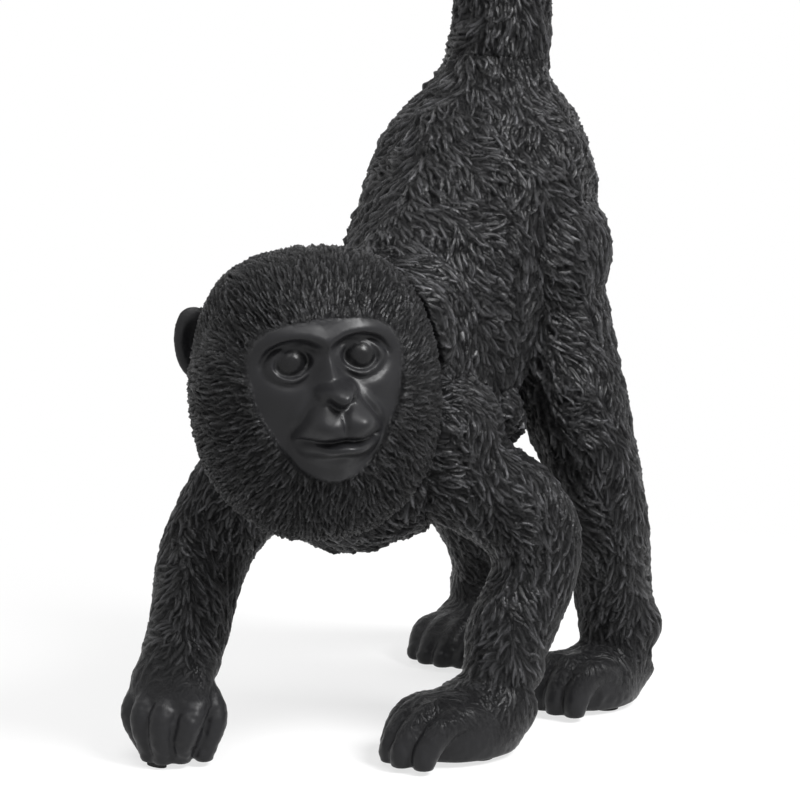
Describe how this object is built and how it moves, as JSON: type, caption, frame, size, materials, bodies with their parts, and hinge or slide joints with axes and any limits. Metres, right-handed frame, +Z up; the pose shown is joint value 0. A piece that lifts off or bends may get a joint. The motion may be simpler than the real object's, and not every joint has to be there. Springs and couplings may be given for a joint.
{
  "type": "monkey figurine",
  "caption": "Black cast-resin monkey figurine that walks on all fours, with its tail up and its head turned to its left.",
  "frame": {"origin": "on the table, under the middle of the figure's box", "axes": "+Z up, the monkey's body faces -Y and its left side is +X"},
  "size_m": [0.0902, 0.168, 0.2566],
  "materials": {
    "resin": "satin black paint, worn lighter on the fur's ridges",
    "steel": "plain drawn wire",
    "felt": "thin black felt"
  },
  "bodies": {
    "root": {"torso": "resin", "head": "resin", "tail": "resin", "left_arm": "resin", "right_arm": "resin", "left_leg": "resin", "right_leg": "resin", "neck_pin": "steel", "left_shoulder_pin": "steel", "right_shoulder_pin": "steel", "left_hip_pin": "steel", "right_hip_pin": "steel", "tail_rod": "steel", "left_hand_pad": "felt", "right_hand_pad": "felt", "left_foot_pad": "felt", "right_foot_pad": "felt"}
  },
  "joints": []
}
